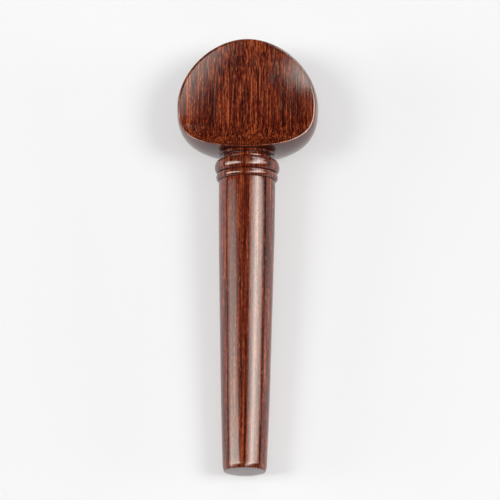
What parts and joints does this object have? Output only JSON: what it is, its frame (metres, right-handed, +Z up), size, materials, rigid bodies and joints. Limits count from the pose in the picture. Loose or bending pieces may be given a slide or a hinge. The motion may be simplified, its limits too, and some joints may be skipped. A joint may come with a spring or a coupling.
{
  "type": "string instrument tuning peg",
  "caption": "Turned hardwood tuning peg with a dished thumb head, a neck bead, a ringed collar and a tapered shaft with a flat tail.",
  "frame": {"origin": "centre of the underside of the peg's bounding box as it lies on a table, thumb face up", "axes": "+Y along the peg from tail to head, +X across the thumb head, +Z up, out of the front thumb face; the turning axis rises about 2 degrees from the tail to the head"},
  "size_m": [0.034, 0.1066, 0.0167],
  "materials": {
    "rosewood_head": "polished oiled rosewood, fine pores, semi-gloss",
    "rosewood_collar": "turned and polished rosewood, semi-gloss",
    "rosewood_shaft": "turned rosewood with fine lathe marks, semi-gloss"
  },
  "bodies": {
    "root": {"thumb_head": "rosewood_head", "collar_large_ring": "rosewood_collar", "collar_small_ring": "rosewood_collar", "tapered_shaft": "rosewood_shaft"}
  },
  "joints": []
}
